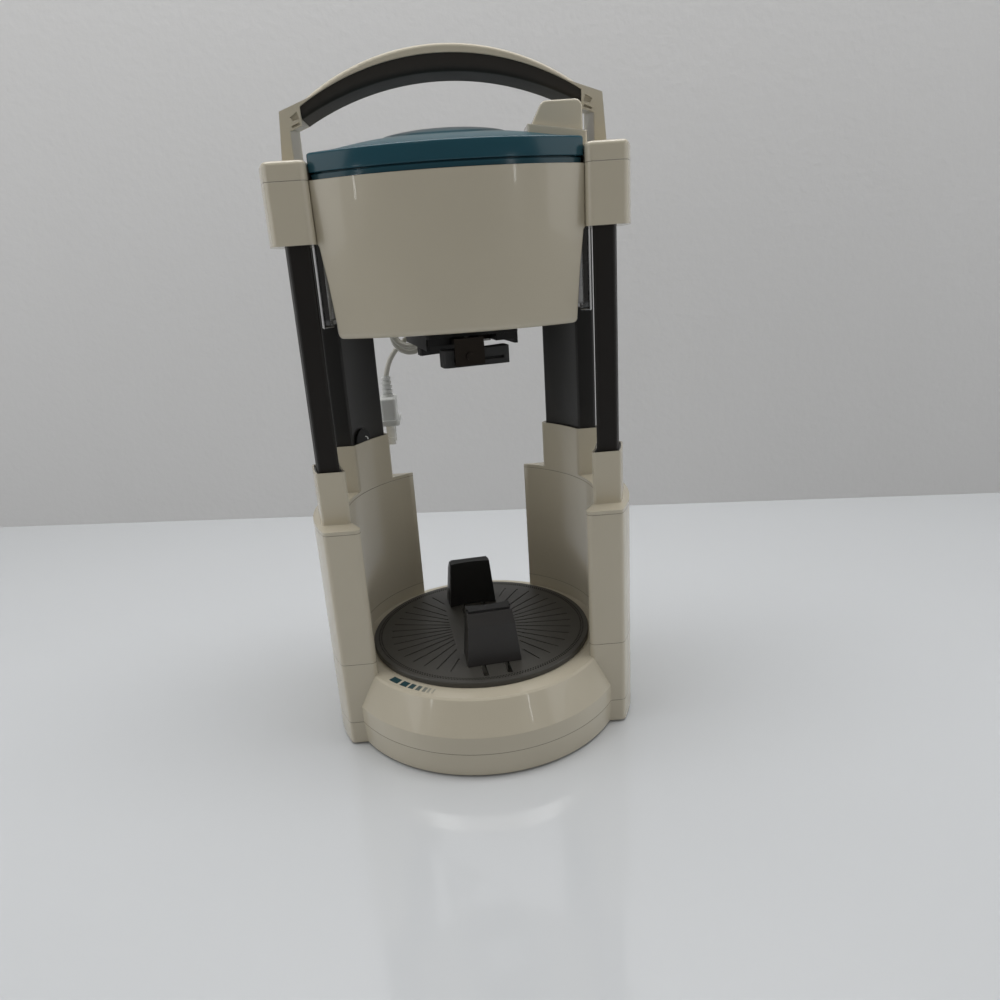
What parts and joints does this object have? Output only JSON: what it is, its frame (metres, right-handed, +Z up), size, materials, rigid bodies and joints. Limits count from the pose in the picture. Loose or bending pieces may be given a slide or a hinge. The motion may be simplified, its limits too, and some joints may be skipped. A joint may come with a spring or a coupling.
{
  "type": "electric jar opener",
  "caption": "Electric jar opener: a round base with a jar turntable and gripping jaws, and a motor head with lid jaws that slides down on posts, under a carrying handle.",
  "frame": {"origin": "on the resting face, on the turntable's axis", "axes": "+X to the user's right, +Y to the back, +Z up along the turntable's axis"},
  "size_m": [0.218, 0.2047, 0.4247],
  "materials": {
    "ivory": "glossy",
    "charcoal": "satin",
    "table_grey": "satin",
    "jaw_grey": "satin",
    "jaw_black": "satin",
    "rubber": "matt",
    "teal": "glossy",
    "acetal": "smooth",
    "steel": "zinc plated",
    "brown_steel": "oiled",
    "brass": "bright",
    "cord": "satin"
  },
  "bodies": {
    "base": {"base_pan": "ivory", "base_shell": "ivory", "base_foot_pads": "rubber", "base_screws": "steel", "jar_sun_gear": "acetal", "tower_shell_left": "ivory", "tower_shell_right": "ivory", "tower_cap_left": "ivory", "tower_cap_right": "ivory", "post_glides": "charcoal"},
    "head": {"button_bezel": "ivory", "clutch_spring": "steel", "cord_gland": "cord", "cord_hank": "cord", "cord_lead": "cord", "cord_tail": "cord", "drive_motor": "steel", "floor_bush": "acetal", "front_post_left": "charcoal", "front_post_right": "charcoal", "gearbox_base": "acetal", "gearbox_top": "acetal", "handle_grip": "charcoal", "handle_shell": "ivory", "head_front_housing": "ivory", "head_rear_housing": "ivory", "head_screws": "steel", "lid_cover": "teal", "plug_blades": "brass", "plug_body": "cord", "pod_cap_left": "ivory", "pod_cap_right": "ivory", "rear_post_left": "charcoal", "rear_post_right": "charcoal", "side_liner_left": "charcoal", "side_liner_right": "charcoal", "start_switch": "acetal"},
    "turntable": {"turntable_disc": "table_grey", "turntable_tray": "acetal", "turntable_retainer": "acetal", "turntable_screws": "steel"},
    "jar_jaw_front": {"jar_jaw_front": "jaw_grey", "jar_pad_front": "rubber", "jar_rack_front": "acetal"},
    "jar_jaw_rear": {"jar_jaw_rear": "jaw_black", "jar_pad_rear": "rubber", "jar_rack_rear": "acetal"},
    "start_button": {"start_button": "ivory"},
    "carrier": {"lid_carrier": "charcoal", "lid_drive_gear": "acetal", "lid_keeper": "steel"},
    "lid_pinion": {"lid_pinion": "acetal"},
    "lid_jaw_front": {"lid_arm_front": "brown_steel", "lid_pad_front": "rubber"},
    "lid_jaw_rear": {"lid_arm_rear": "brown_steel", "lid_pad_rear": "rubber"},
    "first_gear": {"first_gear": "acetal"},
    "second_gear": {"second_gear": "acetal"},
    "motor_rotor": {"motor_pinion": "steel"}
  },
  "joints": [
    {"name": "turntable_turn", "type": "hinge", "parent": "base", "child": "turntable", "pos_m": [0, 0, 0.042], "axis": [0, 0, 1], "range_deg": [-66.5, 104.5]},
    {"name": "jar_jaw_front_slide", "type": "slide", "parent": "turntable", "child": "jar_jaw_front", "axis": [-0.1219, 0.9925, 0], "range_m": [-0.014, 0.022]},
    {"name": "jar_jaw_rear_slide", "type": "slide", "parent": "turntable", "child": "jar_jaw_rear", "axis": [0.1219, -0.9925, 0], "range_m": [-0.014, 0.022]},
    {"name": "head_slide", "type": "slide", "parent": "base", "child": "head", "axis": [0, 0, 1], "range_m": [-0.11, 0]},
    {"name": "start_press", "type": "slide", "parent": "head", "child": "start_button", "axis": [0, 0, -1], "range_m": [0, 0.004], "stiffness_N_per_m": 600, "springref_m": -0.002},
    {"name": "gripper_spin", "type": "hinge", "parent": "head", "child": "carrier", "pos_m": [0, 0, 0.268], "axis": [0, 0, 1], "continuous": true},
    {"name": "lid_pinion_turn", "type": "hinge", "parent": "carrier", "child": "lid_pinion", "pos_m": [0, 0, 0.264], "axis": [0, 0, 1], "range_deg": [-229.2, 171.9]},
    {"name": "lid_jaw_front_slide", "type": "slide", "parent": "carrier", "child": "lid_jaw_front", "axis": [-0.225, 0.9744, 0], "range_m": [-0.018, 0.024]},
    {"name": "lid_jaw_rear_slide", "type": "slide", "parent": "carrier", "child": "lid_jaw_rear", "axis": [0.225, -0.9744, 0], "range_m": [-0.018, 0.024]},
    {"name": "second_gear_spin", "type": "hinge", "parent": "head", "child": "second_gear", "pos_m": [-0.03139, 0.01812, 0.285], "axis": [0, 0, 1], "continuous": true},
    {"name": "first_gear_spin", "type": "hinge", "parent": "head", "child": "first_gear", "pos_m": [-0.04123, -0.00889, 0.292], "axis": [0, 0, 1], "continuous": true},
    {"name": "motor_spin", "type": "hinge", "parent": "head", "child": "motor_rotor", "pos_m": [-0.01849, -0.02202, 0.3], "axis": [0, 0, 1], "continuous": true}
  ],
  "couplings": [
    {"joint": "jar_jaw_front_slide", "follows": "turntable_turn", "m_per_rad": 0.012},
    {"joint": "jar_jaw_rear_slide", "follows": "turntable_turn", "m_per_rad": 0.012},
    {"joint": "lid_jaw_rear_slide", "follows": "lid_jaw_front_slide", "ratio": 1},
    {"joint": "lid_pinion_turn", "follows": "lid_jaw_front_slide", "rad_per_m": -166.67},
    {"joint": "second_gear_spin", "follows": "gripper_spin", "ratio": -4.8},
    {"joint": "first_gear_spin", "follows": "gripper_spin", "ratio": 17.28},
    {"joint": "motor_spin", "follows": "gripper_spin", "ratio": -55.296}
  ]
}
